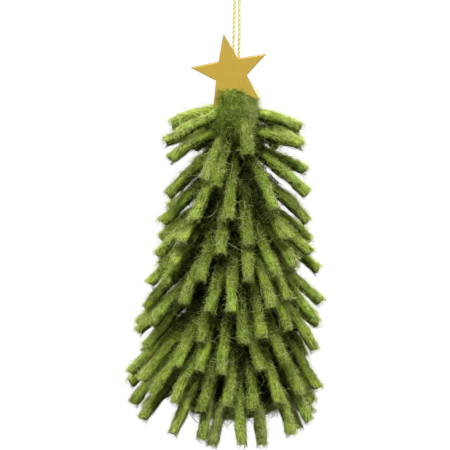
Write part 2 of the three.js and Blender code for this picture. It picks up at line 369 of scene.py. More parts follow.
def add_piece(name, places, faces, finish, maps=None, values=None):
    """Puts vertex places, face corners, UV maps and vertex values into a new smooth mesh object."""
    corners = np.concatenate([face.ravel() for face in faces])
    sizes = np.concatenate([np.full(len(face), face.shape[1]) for face in faces])
    starts = np.concatenate([[0], np.cumsum(sizes)[:-1]])
    mesh = bpy.data.meshes.new(name)
    mesh.vertices.add(len(places))
    mesh.loops.add(len(corners))
    mesh.polygons.add(len(sizes))
    mesh.vertices.foreach_set("co", np.ascontiguousarray(places, np.float32).ravel())
    mesh.loops.foreach_set("vertex_index", corners.astype(np.int32))
    mesh.polygons.foreach_set("loop_start", starts.astype(np.int32))
    for key, parts in (maps or {}).items():
        layer = mesh.uv_layers.new(name=key)
        spots = np.concatenate([part.reshape(-1, 2) for part in parts])
        layer.uv.foreach_set("vector", spots.astype(np.float32).ravel())
    for key, value in (values or {}).items():
        wide = value.ndim == 2
        data = mesh.attributes.new(key, "FLOAT_VECTOR" if wide else "FLOAT", "POINT").data
        data.foreach_set("vector" if wide else "value", value.astype(np.float32).ravel())
    mesh.update(calc_edges=True)
    if mesh.validate():
        raise RuntimeError(f"{name} has faults in its mesh")
    mesh.shade_smooth()
    mesh.materials.append(finish)
    piece = bpy.data.objects.new(name, mesh)
    bpy.context.scene.collection.objects.link(piece)
    return piece


def map_spots(across, up):
    """Map places of faces, from the places of each corner across the map and up it."""
    return np.stack([np.stack(across, -1), np.stack(up, -1)], -1)


def tube_faces(count, rings, columns):
    """Corners of closed tubes: quads between neighbouring rings, and a fan of triangles at each end.

    A tube's vertices are its rings in order, then the points of its first and last fan.
    The map gives each tube one upright strip, with the ring number as its height.
    """
    ring, column = np.divmod(np.arange((rings - 1) * columns), columns)
    after = (column + 1) % columns
    below, above = ring * columns, (ring + 1) * columns
    quads = np.stack([below + column, below + after, above + after, above + column], -1)
    side = np.arange(columns)
    beside = (side + 1) % columns
    last = (rings - 1) * columns
    first_fan = np.stack([beside, side, np.full(columns, rings * columns)], -1)
    last_fan = np.stack([last + side, last + beside, np.full(columns, rings * columns + 1)], -1)
    fans = np.concatenate([first_fan, last_fan])
    step = (np.arange(count) * (rings * columns + 2))[:, None, None]
    faces = [(step + quads).reshape(-1, 4), (step + fans).reshape(-1, 3)]

    left, right = side / columns, (side + 1) / columns
    middle, none = (left + right) / 2, np.zeros(columns)
    high = (np.arange(rings) + 1) / (rings + 1)
    quad_map = map_spots(
        [left[column], right[column], right[column], left[column]],
        [high[ring], high[ring], high[ring + 1], high[ring + 1]],
    )
    first_map = map_spots([right, left, middle], [none + high[0], none + high[0], none])
    last_map = map_spots([left, right, middle], [none + high[-1], none + high[-1], none + 1])

    def in_strips(part):
        margin = 0.03
        spread = np.broadcast_to(part, (count, *part.shape)).copy()
        inside = margin + (1 - 2 * margin) * spread[..., 0]
        spread[..., 0] = (np.arange(count)[:, None, None] + inside) / count
        return spread.reshape(-1, part.shape[1], 2)

    return faces, [in_strips(quad_map), in_strips(np.concatenate([first_map, last_map]))]


def strands(lines, radius):
    """Thin closed fibres: each line's inner points carry a ring of three, and its ends are points.

    lines is fibres by stations by 3. The ring's directions are square to the line through the
    neighbouring stations.
    """
    along = unit(lines[:, 2:] - lines[:, :-2])
    upright = np.abs(along[..., 2:]) < 0.9
    aside = unit(np.cross(along, np.where(upright, (0.0, 0, 1), (1.0, 0, 0))))
    across = np.cross(along, aside)
    turn = np.arange(3) * TAU / 3
    spread = np.cos(turn)[:, None] * aside[:, :, None] + np.sin(turn)[:, None] * across[:, :, None]
    rings = lines[:, 1:-1, None] + radius[..., None, None] * spread
    places = np.concatenate([rings.reshape(len(lines), -1, 3), lines[:, :1], lines[:, -1:]], 1)
    return places.reshape(-1, 3)


def fibre_maps(count, stations, shade):
    """Corners and map of fibres: across the map lies each fibre's shade, and up it the way to its tip."""
    shade_width = 0.012
    faces, parts = tube_faces(count, stations - 2, 3)
    maps = []
    for part in parts:
        per = part.reshape(count, -1, *part.shape[1:])
        share = per[..., 0] * count - np.arange(count)[:, None, None]
        wide = shade[:, None, None] + shade_width * share
        maps.append(np.stack([wide, per[..., 1]], -1).reshape(part.shape))
    return faces, maps


def feed(tree, made, inputs):
    """Links each of a node's inputs to a socket, or gives it a value."""
    for key, value in inputs.items():
        if isinstance(value, bpy.types.NodeSocket):
            tree.links.new(value, made.inputs[key])
        else:
            made.inputs[key].default_value = value


def node(tree, kind, inputs=None, **settings):
    """Adds a shader node with its settings and inputs."""
    made = tree.nodes.new(kind)
    for key, value in settings.items():
        setattr(made, key, value)
    feed(tree, made, inputs or {})
    return made


def carried(tree, name, output="Fac"):
    """A value that the mesh carries at its points."""
    return node(tree, "ShaderNodeAttribute", attribute_name=name).outputs[output]


def noise(tree, place, scale, detail=2.0, rough=0.55):
    """Smooth random value from 0 to 1 at a place."""
    inputs = {"Vector": place, "Scale": scale, "Detail": detail, "Roughness": rough}
    return node(tree, "ShaderNodeTexNoise", inputs).outputs["Fac"]


def stretched(tree, place, by):
    """A place with each axis multiplied."""
    return node(tree, "ShaderNodeVectorMath", {0: place, 1: by}, operation="MULTIPLY").outputs[0]


def maths(tree, operation, a, b):
    """Two values put together."""
    return node(tree, "ShaderNodeMath", {0: a, 1: b}, operation=operation).outputs[0]


def weighed(tree, *parts):
    """The sum of values, each times its weight."""
    terms = [maths(tree, "MULTIPLY", value, weight) for value, weight in parts]
    whole = terms[0]
    for term in terms[1:]:
        whole = maths(tree, "ADD", whole, term)
    return whole


def between(tree, value, low, high, to_low=0.0, to_high=1.0):
    """A value's place between two others, smoothly, carried to a new range."""
    inputs = {"Value": value, "From Min": low, "From Max": high, "To Min": to_low, "To Max": to_high}
    return node(tree, "ShaderNodeMapRange", inputs, interpolation_type="SMOOTHSTEP").outputs["Result"]


def mixed(tree, share, a, b):
    """Colour a with a share of colour b."""
    return node(tree, "ShaderNodeMix", {0: share, 6: a, 7: b}, data_type="RGBA").outputs[2]


def bumps(tree, height, strength, distance, invert=False):
    """A normal that follows a height."""
    inputs = {"Strength": strength, "Distance": distance, "Height": height}
    return node(tree, "ShaderNodeBump", inputs, invert=invert).outputs[0]


def background_rays(tree):
    """1 for the rays that look at the background: the camera's, reflected ones and those through glass."""
    ray = node(tree, "ShaderNodeLightPath").outputs
    turned = maths(tree, "MAXIMUM", ray["Is Glossy Ray"], ray["Is Transmission Ray"])
    return maths(tree, "MAXIMUM", ray["Is Camera Ray"], turned)


def opaque(colour):
    """A colour with full alpha."""
    return (*colour, 1.0)


def new_finish(name):
    """A new material, its nodes and its shader."""
    material = bpy.data.materials.new(name)
    material.use_nodes = True
    return material, material.node_tree, material.node_tree.nodes["Principled BSDF"]


def new_group(name, inputs, outputs):
    """An empty shader node group with named sockets, and its input and output nodes."""
    group = bpy.data.node_groups.new(name, "ShaderNodeTree")
    for key, kind in inputs.items():
        group.interface.new_socket(key, in_out="INPUT", socket_type=kind)
    for key, kind in outputs.items():
        group.interface.new_socket(key, in_out="OUTPUT", socket_type=kind)
    return group, group.nodes.new("NodeGroupInput").outputs, group.nodes.new("NodeGroupOutput").inputs


def wool_group():
    """Felted wool: lengthwise streaks on a clumped ground, pale hairs, brown patches and dark cut ends."""
    if "felted wool" in bpy.data.node_groups:
        return bpy.data.node_groups["felted wool"]
    values = dict.fromkeys(("Tint", "Cut", "Depth"), "NodeSocketFloat")
    colours = dict.fromkeys(("Light", "Deep", "Straw", "Brown"), "NodeSocketColor")
    group, given, out = new_group(
        "felted wool",
        {"Place": "NodeSocketVector", **values, **colours},
        {"Colour": "NodeSocketColor", "Height": "NodeSocketFloat"},
    )
    place = given["Place"]
    streak = noise(group, stretched(group, place, (1, 1, 0.1)), 1.5, 3, 0.6)
    hair = noise(group, stretched(group, place, (1, 1, 0.16)), 4.2, 2, 0.5)
    clump = noise(group, place, 0.33, 2, 0.5)
    speck = noise(group, place, 3.6, 3, 0.65)

    ground = weighed(group, (streak, 0.4), (clump, 0.3), (speck, 0.3))
    colour = mixed(group, between(group, ground, 0.36, 0.64), given["Deep"], given["Light"])
    colour = mixed(group, between(group, hair, 0.56, 0.72, 0, 0.75), colour, given["Straw"])
    patch = between(group, clump, 0.6, 0.72, 0, 0.6)
    faded = maths(group, "MULTIPLY", patch, between(group, given["Tint"], 0.55, 0.95))
    colour = mixed(group, faded, colour, given["Brown"])

    own = between(group, given["Tint"], 0, 1, 0.78, 1.16)
    # Painted shade: the depth in shade darkens the wool, and below zero it paints light.
    bright = maths(group, "MULTIPLY", own, between(group, given["Depth"], -0.4, 1, 1.3, 0.05))
    hue = between(group, noise(group, place, 0.11, 1), 0.3, 0.7, 0.485, 0.515)
    shade = node(group, "ShaderNodeHueSaturation", {"Hue": hue, "Value": bright, "Color": colour})

    cut = maths(group, "MULTIPLY", given["Cut"], between(group, speck, 0.62, 0.4, 0.15, 0.85))
    dark = mixed(group, 0.55, given["Deep"], given["Brown"])
    group.links.new(mixed(group, cut, shade.outputs[0], dark), out["Colour"])
    group.links.new(weighed(group, (streak, 0.6), (hair, 0.5), (speck, 0.25)), out["Height"])
    return group


def felt_finish(name, felt, shade=1.0):
    """Matte felted wool whose pattern follows the wool's own lay."""
    material, tree, shader = new_finish(name)
    inputs = {"Place": carried(tree, "wool_place", "Vector")}
    for key in ("Tint", "Cut", "Depth"):
        inputs[key] = carried(tree, f"wool_{key.lower()}")
    # The shade factor scales all the colours: below 1 it paints shade, above 1 it paints light.
    for key in ("Light", "Deep", "Straw", "Brown"):
        inputs[key] = opaque([min(1, shade * part) for part in getattr(felt, key.lower())])
    wool = node(tree, "ShaderNodeGroup", node_tree=wool_group())
    feed(tree, wool, inputs)
    feed(tree, shader, {
        "Base Color": wool.outputs["Colour"],
        "Normal": bumps(tree, wool.outputs["Height"], 0.7, 0.0004),
        "Roughness": 0.95,
        "Specular IOR Level": 0.0,
        "Sheen Weight": 0.08,
        "Sheen Roughness": 0.5,
        "Sheen Tint": (0.8, 0.9, 0.3, 1),
    })
    return material


def fibre_finish(felt):
    """Single wool fibres: the map's width gives the shade, and its height pales the tip as painted light.
    """
    if "wool_fibre" in bpy.data.materials:
        return bpy.data.materials["wool_fibre"]
    material, tree, shader = new_finish("wool_fibre")
    spot = node(tree, "ShaderNodeUVMap", uv_map=WHOLE_MAP).outputs[0]
    parts = node(tree, "ShaderNodeSeparateXYZ", {0: spot}).outputs
    ramp = node(tree, "ShaderNodeValToRGB", {"Fac": parts["X"]})
    # The darkest stops are painted shade for fibres deep in shade; the palest green stops serve pale hairs
    # and the painted light of wisps.
    stops = [
        (0.0, [0.3 * part for part in felt.deep]),
        (0.3, felt.deep),
        (0.45, (0.25, 0.41, 0.032)),
        (0.64, felt.light),
        (0.8, felt.straw),
        (0.92, (0.97, 1, 0.44)),
        (0.95, felt.brown),
    ]
    while len(ramp.color_ramp.elements) < len(stops):
        ramp.color_ramp.elements.new(0.5)
    for element, (position, colour) in zip(ramp.color_ramp.elements, stops):
        element.position = position
        element.color = opaque(colour)
    # Painted light: fibres grow paler towards their tips.
    pale = between(tree, parts["Y"], 0.1, 1, 0, 0.35)
    colour = mixed(tree, pale, ramp.outputs["Color"], opaque(felt.straw))
    feed(tree, shader, {"Base Color": colour, "Roughness": 0.7, "Specular IOR Level": 0.0})
    return material


def tier_cords(level):
    """Root, middle and tip of each cord of a tier, each a parabola that starts at the core.

    The tip lies the cord's length away at its droop, and the middle is lifted off the straight line.
    A long cord's root gets painted shade. Painted light makes cords paler at the foot and the sides, and
    painted shade makes them darker at the front.
    """
    rise, *sides = TIERS[level]
    rows = np.array([cord for side in sides for cord in side])
    turn, lean = np.radians(rows[:, 0]), np.radians(rows[:, 1])
    reach = rows[:, 2] * LONG_CORD
    quarter = np.repeat(np.arange(4), [len(side) for side in sides])
    place = np.concatenate([np.arange(len(side)) for side in sides])
    seed = 1 + level * 16 + quarter * 4 + place
    height = rise * TIP_HEIGHT
    wall = wrap_radius(height)
    root = on_tree(wall + CLEARANCE, turn, height - CLEARANCE * np.tan(lean))
    tip = on_tree(wall + reach * np.cos(lean), turn, height - reach * np.sin(lean))
    tip[:, 0] += SWAY * (1 - rise)
    bow = BOW_LEAST + (BOW_MOST - BOW_LEAST) * scatter(seed)
    lift = on_tree(bow * np.sin(lean), turn, bow * np.cos(lean) + HANG_DROP)
    # Painted light and shade by a cord's place: less root shade in the upper tiers, paler at the foot, the
    # sides and the crown's left, darker at the front.
    upper = np.clip((rise - 0.6) / 0.25, 0, 1)
    crown = np.clip((rise - 0.8) / 0.1, 0, 1)
    foot = np.clip(1.3 - 5 * rise, 0, 1)
    front = np.clip(np.cos(turn), 0, 1)
    long = np.clip(reach / (8 * MM) - 1.9, 0.25, 1)
    sideways = 0.3 * np.sin(turn) ** 2 - 0.14 * crown * np.sin(turn)
    return {
        "root": root,
        "middle": (root + tip) / 2 + lift,
        "tip": tip,
        "length": np.linalg.norm(tip - root, axis=1),
        "across": np.stack([np.cos(turn), np.sin(turn), 0 * turn], -1),
        "quarter": quarter,
        "phase": np.stack([scatter(seed * 1.7 + step) for step in range(8)], -1) * TAU,
        "tint": scatter(seed * 2.3 + 0.5),
        "painted_root_shade": long * min(1, 0.2 + 4 * rise) * (1 - 0.2 * upper),
        "painted_light_and_shade": 0.9 * foot + sideways - (0.1 + 0.14 * crown) * front,
    }


def painted_shade_depth(cords, pick, along, angle):
    """How deep in painted shade a spot on a cord is: most at a long cord's root, more below than above.

    Each cord is also a little darker or paler than the next; the painted light and shade of its place on
    the tree falls most on its upper side, and slow waves round it make streaks along it. Below zero it
    paints light.
    """
    phase = cords["phase"][pick]
    up = np.sin(angle)
    # Painted shade at a long cord's root and on its underside.
    root = np.clip(1.6 * (1 - along / cords["length"][pick]) - 0.22, 0, 1) * cords["painted_root_shade"][pick]
    under = 0.75 * np.clip(0.05 - up, -0.45, 1)
    # A random tint, with the painted light and shade of the cord's place, most on its upper side.
    own = 0.36 * (0.66 - cords["tint"][pick]) - cords["painted_light_and_shade"][pick] * np.clip(0.6 + 0.8 * up, 0, 1.2)
    streak = 0.1 * np.sin(3 * angle + 0.25 * along / MM + phase[..., 0])
    streak = streak + 0.08 * np.sin(7 * angle - 0.4 * along / MM + phase[..., 2])
    return root + under + own + streak


def cord_radius(cords, pick, along, around, felt):
    """A cord's radius: half its diameter, with slow waves along it and lobes that wander round it."""
    phase = cords["phase"][pick]
    step = along / MM
    waves = (
        0.8 * np.sin(0.5 * step + phase[..., 0])
        + 0.7 * np.sin(2 * around + 0.35 * step + phase[..., 1])
        + 0.55 * np.sin(3 * around - 0.8 * step + phase[..., 2])
        + 0.4 * np.sin(5 * around + 1.7 * step + phase[..., 3])
        + 0.35 * np.sin(1.9 * step + phase[..., 4])
    )
    return felt.cord_diameter / 2 * (1 + felt.lumpiness * waves / 1.4)


def on_cord(cords, pick, along, around, radius):
    """Points round picked cords: a parabola's point at a distance along, plus a radius at an angle.

    The angle turns from the sideways direction to the upward one, and the parabola wavers a little.
    """
    t = (along / cords["length"][pick])[..., None]
    root, middle, tip = cords["root"][pick], cords["middle"][pick], cords["tip"][pick]
    centre = (1 - t) ** 2 * root + 2 * t * (1 - t) * middle + t**2 * tip
    way = unit((1 - t) * (middle - root) + t * (tip - middle))
    across = cords["across"][pick]
    side = unit(across - (across * way).sum(-1, keepdims=True) * way)
    up = np.cross(way, side)
    phase = cords["phase"][pick]
    waver = np.clip(t, 0, 1) * 0.5 * MM
    centre = centre + waver * np.sin(4 * t + phase[..., 5:6]) * side
    centre = centre + waver * np.sin(5 * t + phase[..., 6:7]) * up
    outward = np.cos(around)[..., None] * side + np.sin(around)[..., None] * up
    return centre + radius[..., None] * outward


def lay_cords(cords, felt):
    """Places and wool values of whole cords: rings from inside the core to a slanted, frayed cut.

    The radius follows the cord's own. It grows over the first rings, shrinks over the last millimetre or
    so and closes across the cut.
    """
    count = len(cords["length"])
    length = cords["length"][:, None]
    even = np.linspace(0, 1, CORD_RINGS)
    inner = length * even**0.9 - END_LENGTH * even
    first = np.full((count, 1), -ROOT_SUNK)
    stations = np.concatenate(
        [first, inner, length - 0.6 * MM, length - 0.2 * MM, length, length, length], 1
    )
    rings = stations.shape[1]
    shrink = np.concatenate([ROOT_TAPER, np.ones(CORD_RINGS - len(ROOT_TAPER)), END_TAPER])[None, :, None]
    at_cut = np.concatenate([np.zeros(CORD_RINGS + 1), END_CUT])
    around = np.arange(CORD_COLUMNS) * TAU / CORD_COLUMNS
    pick = np.broadcast_to(np.arange(count)[:, None, None], (count, rings, CORD_COLUMNS))
    along = np.broadcast_to(stations[:, :, None], pick.shape)
    angle = np.broadcast_to(around, pick.shape)
    phase = cords["phase"][pick]
    fray = 0.16 * np.sin(3 * angle + phase[..., 1]) + 0.12 * np.sin(7 * angle + phase[..., 2])
    slant = (0.35 + 0.5 * scatter(phase[..., 4])) * np.cos(angle - phase[..., 3])
    near_cut = np.minimum(1, 4 * at_cut)[None, :, None]
    along = along + near_cut * (slant + 0.6 * fray) * shrink * MM
    radius = cord_radius(cords, pick, along, angle, felt) * shrink
    skin = on_cord(cords, pick, along, angle, radius)
    ends = np.stack([stations[:, 0] - 0.1 * MM, stations[:, -1]], 1)
    two = np.broadcast_to(np.arange(count)[:, None], ends.shape)
    poles = on_cord(cords, two, ends, 0 * ends, 0 * ends)
    places = np.concatenate([skin.reshape(count, -1, 3), poles], 1).reshape(-1, 3)

    wool = np.stack([radius * np.cos(angle), radius * np.sin(angle), along], -1) / MM
    wool_ends = np.stack([0 * ends, 0 * ends, ends / MM], -1)
    wool = np.concatenate([wool.reshape(count, -1, 3), wool_ends], 1) + cords["phase"][:, None, 5:8] * 20
    # Painted shade along each cord; the root's pole is fully shaded.
    depth = painted_shade_depth(cords, pick, along, angle).reshape(count, -1)
    depth_ends = np.tile([1.0, 0], (count, 1))
    values = {
        "wool_place": wool.reshape(-1, 3),
        "wool_tint": np.repeat(cords["tint"], rings * CORD_COLUMNS + 2),
        "wool_cut": np.tile(np.concatenate([np.repeat(at_cut, CORD_COLUMNS), [0, 1]]), count),
        "wool_depth": np.concatenate([depth, depth_ends], 1).ravel(),
    }
    faces, maps = tube_faces(count, rings, CORD_COLUMNS)
    return places, faces, {WHOLE_MAP: maps}, values


def some(cords, chosen):
    """The chosen cords of a tier."""
    return {key: value[chosen] for key, value in cords.items()}


def fibre_shades(rng, depth):
    """Each fibre's place on the shade map: most green, some straw, few brown, darker in painted shade,
    paler in painted light.
    """
    kind, spread = rng.random((2, len(depth)))
    shade = np.where(kind < 0.62, 0.24 + 0.36 * spread, 0.6 + 0.2 * spread)
    shade = np.clip(shade * (1 - 0.92 * depth), 0.01, 0.9)
    brown = ((kind > 0.97) & (depth < 0.4)) | (depth == FADED)
    return np.where(brown, 0.955 + 0.03 * spread, shade)


def fibres_on(cords, number, stations):
    """The cord of each fibre, repeated for its stations, and each station's share of the way along it."""
    pick = np.repeat(np.arange(len(cords["length"])), number)
    return np.repeat(pick[:, None], stations, 1), np.linspace(0, 1, stations)


def standing_fibres(
    cords, felt, rng, number, stations, angles, length, slant, stray, curl, thick, pale
):
    """Fibres that leave a cord's skin at a slant.

    Each turns aside as the square of the way along it and bends over, and most point to the cord's end.
    They are longest on top of a cord and shortest below it. A few cords have a faded patch. Their shade is
    the cord's painted shade, less the pale share, which paints light.
    """
    pick, q = fibres_on(cords, number, stations)
    total, owner = len(pick), pick[:, 0]
    length = length * (0.35 + rng.gamma(2.2, 0.36, total))[:, None]
    slant = np.radians(rng.uniform(*slant, total))[:, None]
    heading = rng.normal(0, stray, total)[:, None]
    heading = heading + np.pi * (rng.random(total) < 0.3)[:, None]
    curl = rng.normal(0, curl, total)[:, None]
    whole = cords["length"][pick]
    start = (0.12 + 0.89 * rng.random(total) ** 0.85)[:, None] * whole[:, :1]
    angle = angles(rng, total)[:, None]
    length = length * (0.58 + 0.42 * np.sin(angle))
    flat = length * np.cos(slant) * q
    aside = flat * np.sin(heading) + length * curl * q**2
    furthest = whole + rng.uniform(0, 0.4, total)[:, None] * MM
    along = np.minimum(start + flat * np.cos(heading), furthest)
    lift = length * np.sin(slant) * q * (1 - 0.2 * q) - 0.12 * MM
    around = angle + aside / (felt.cord_diameter / 2)
    skin = cord_radius(cords, pick, np.broadcast_to(start, along.shape), around, felt)
    radius = felt.fibre_radius * rng.uniform(*thick, (total, 1)) * np.linspace(1, 0.75, stations - 2)
    # Painted shade from the cord, lessened by the pale share as painted light.
    depth = painted_shade_depth(cords, owner, start[:, 0], angle[:, 0]) - pale
    spot = 0.6 + 0.35 * scatter(cords["phase"][owner, 6])
    near = np.abs(start[:, 0] / whole[:, 0] - spot) < 0.1
    patch = (cords["tint"][owner] > 0.82) & near & (rng.random(total) < 0.6)
    depth = np.where(patch & (np.cos(angle[:, 0] - 1.2) > 0.3), FADED, depth)
    return on_cord(cords, pick, along, around, skin + lift), radius, depth


def all_round(rng, total):
    """Angles all round a cord, closer together on top."""
    even = rng.uniform(0, TAU, total)
    return even + 0.75 * np.cos(even)


def on_top(rng, total):
    """Angles about the top of a cord."""
    return rng.normal(np.pi / 2, 0.75, total)


def frayed_fibres(cords, felt, rng):
    """Fibres that run on straight past the cut, a little outwards or inwards."""
    pick, q = fibres_on(cords, felt.fray_count, 3)
    total = len(pick)
    length = rng.uniform(0.5, 1.9, total)[:, None] * MM
    angle = rng.uniform(0, TAU, total)[:, None]
    start = cords["length"][pick] - rng.uniform(0.1, 1.1, total)[:, None] * MM
    outward = rng.uniform(-0.35, 0.55, total)[:, None]
    around = angle + rng.normal(0, 0.3, total)[:, None] * q
    skin = cord_radius(cords, pick, start, around, felt) * rng.uniform(0.8, 1, total)[:, None]
    along = start + length * np.cos(outward) * q
    lines = on_cord(cords, pick, along, around, skin + length * np.sin(outward) * q)
    radius = felt.fibre_radius * rng.uniform(0.7, 1.1, (total, 1))
    # Frays take the cord's painted shade, a little paled as painted light.
    return lines, radius, painted_shade_depth(cords, pick[:, 0], start[:, 0], angle[:, 0]) - 0.1


def lying_hairs(cords, felt, rng):
    """Hairs that follow the cord a little above its skin and drift round it, none far past its cut."""
    pick, q = fibres_on(cords, felt.hair_count, 6)
    total, owner = len(pick), pick[:, 0]
    length = rng.uniform(3.5, 9, total)[:, None] * MM
    back = np.where(rng.random(total) < 0.3, -1, 1)[:, None]
    start = rng.uniform(0.1, 0.95, total)[:, None] * cords["length"][pick[:, :1]]
    angle = rng.uniform(0, TAU, total)[:, None]
    drift = rng.normal(0, 0.9, total)[:, None]
    bend = rng.normal(0, 0.8, total)[:, None]
    along = start + back * length * q
    over = np.maximum(0, along - cords["length"][pick] - 0.8 * MM)
    along = along - 0.75 * over
    around = angle + drift * q + bend * np.sin(np.pi * q)
    arch = rng.uniform(0.05, 0.5, total)[:, None] * np.sin(np.pi * q)
    lift = (0.06 + arch) * MM - 0.12 * MM * (q < 0.01)
    skin = cord_radius(cords, pick, along, around, felt)
    lines = on_cord(cords, pick, along, around, skin + lift)
    radius = felt.fibre_radius * rng.uniform(0.7, 1.05, total)[:, None] * np.array([0.9, 1, 1, 0.8])
    # Hairs take the cord's painted shade, with a random tone.
    depth = painted_shade_depth(cords, owner, start[:, 0], angle[:, 0]) + rng.normal(-0.05, 0.3, total)
    return lines, radius, depth


def cord_fibres(cords, felt, rng):
    """The fuzz, wisps, frayed ends and hairs of a tier's cords: lines, radii and depths in shade."""
    fuzz = standing_fibres(
        cords, felt, rng, felt.fuzz_count, 3, all_round, felt.fuzz_length,
        slant=(5, 42), stray=0.38, curl=0.25, thick=(0.8, 1.25), pale=0,
    )
    # The wisps on top are paled by painted light.
    wisps = standing_fibres(
        cords, felt, rng, felt.wisp_count, 4, on_top, 1.7 * felt.fuzz_length,
        slant=(20, 80), stray=0.9, curl=0.5, thick=(0.55, 0.85), pale=0.85,
    )
    return fuzz, wisps, frayed_fibres(cords, felt, rng), lying_hairs(cords, felt, rng)


def add_fibres(name, bundles, felt, rng, shades=fibre_shades):
    """One piece of several bundles of fibres, each with its own number of stations."""
    places, faces, maps, base = [], [], [], 0
    for lines, radius, depth in bundles:
        points = strands(lines, radius)
        corners, spots = fibre_maps(*lines.shape[:2], shades(rng, depth))
        places.append(points)
        faces.append([part + base for part in corners])
        maps.append(spots)
        base += len(points)
    faces = [np.concatenate(parts) for parts in zip(*faces)]
    maps = {WHOLE_MAP: [np.concatenate(parts) for parts in zip(*maps)]}
    piece = add_piece(name, np.concatenate(places), faces, fibre_finish(felt), maps)
    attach(piece, "tree")


def turned_skin(profile, lumps):
    """A surface of revolution: the profile's radius and height, with the lumps added to the radius."""
    turn = np.arange(CORE_COLUMNS) * TAU / CORE_COLUMNS
    radius = profile[:, :1] + lumps
    skin = on_tree(radius, turn[None, :], profile[:, 1:])
    poles = on_tree(np.zeros(2), np.zeros(2), profile[[0, -1], 1])
    places = np.concatenate([skin.reshape(-1, 3), poles])
    faces, maps = tube_faces(1, len(profile), CORE_COLUMNS)
    return places, faces, {WHOLE_MAP: maps}, radius


def core_profile():
    """Radius and height up the wrap: a straight cone, a rounded dome, and a wide dimple for the knot.

    The dome's rim stays low and wide, so that the thread clears it when the tree swings.
    """
    rim, rim_drop = 1.9 * MM, 0.8 * MM
    cone = np.linspace(DISC_THICKNESS + CLEARANCE, TAPER_HEIGHT, CONE_RINGS)
    sweep = np.linspace(0, 1, DOME_RINGS + 1)[1:] * np.pi / 2
    dome_radius = rim + (TIP_RADIUS - rim) * np.cos(sweep) ** 0.75
    dome_height = TAPER_HEIGHT + (DOME_HEIGHT - rim_drop) * np.sin(sweep) ** 1.15
    dimple = np.array([(1.5, -1.2), (0.9, -1.7), (0.3, -2)]) * MM + (0, TIP_HEIGHT)
    foot = np.array([(0.5 * BASE_RADIUS, cone[0]), (BASE_RADIUS - 1 * MM, cone[0])])
    return np.concatenate([
        foot, np.stack([wrap_radius(cone), cone], -1), np.stack([dome_radius, dome_height], -1), dimple
    ])


def disc_profile():
    """Radius and height round the base disc: out along its underside, up its round edge and back in."""
    edge_width = 0.7 * MM
    edge = np.linspace(-1, 1, 9) * np.pi / 2
    rim_radius = BASE_RADIUS - edge_width + edge_width * np.cos(edge)
    rim = np.stack([rim_radius, DISC_THICKNESS * (1 + np.sin(edge)) / 2], -1)
    inside = np.array([0.1, 0.4, 0.7, 0.9]) * BASE_RADIUS
    under = np.stack([inside, 0 * inside], -1)
    over = np.stack([inside[::-1], 0 * inside + DISC_THICKNESS], -1)
    return np.concatenate([under, rim, over])


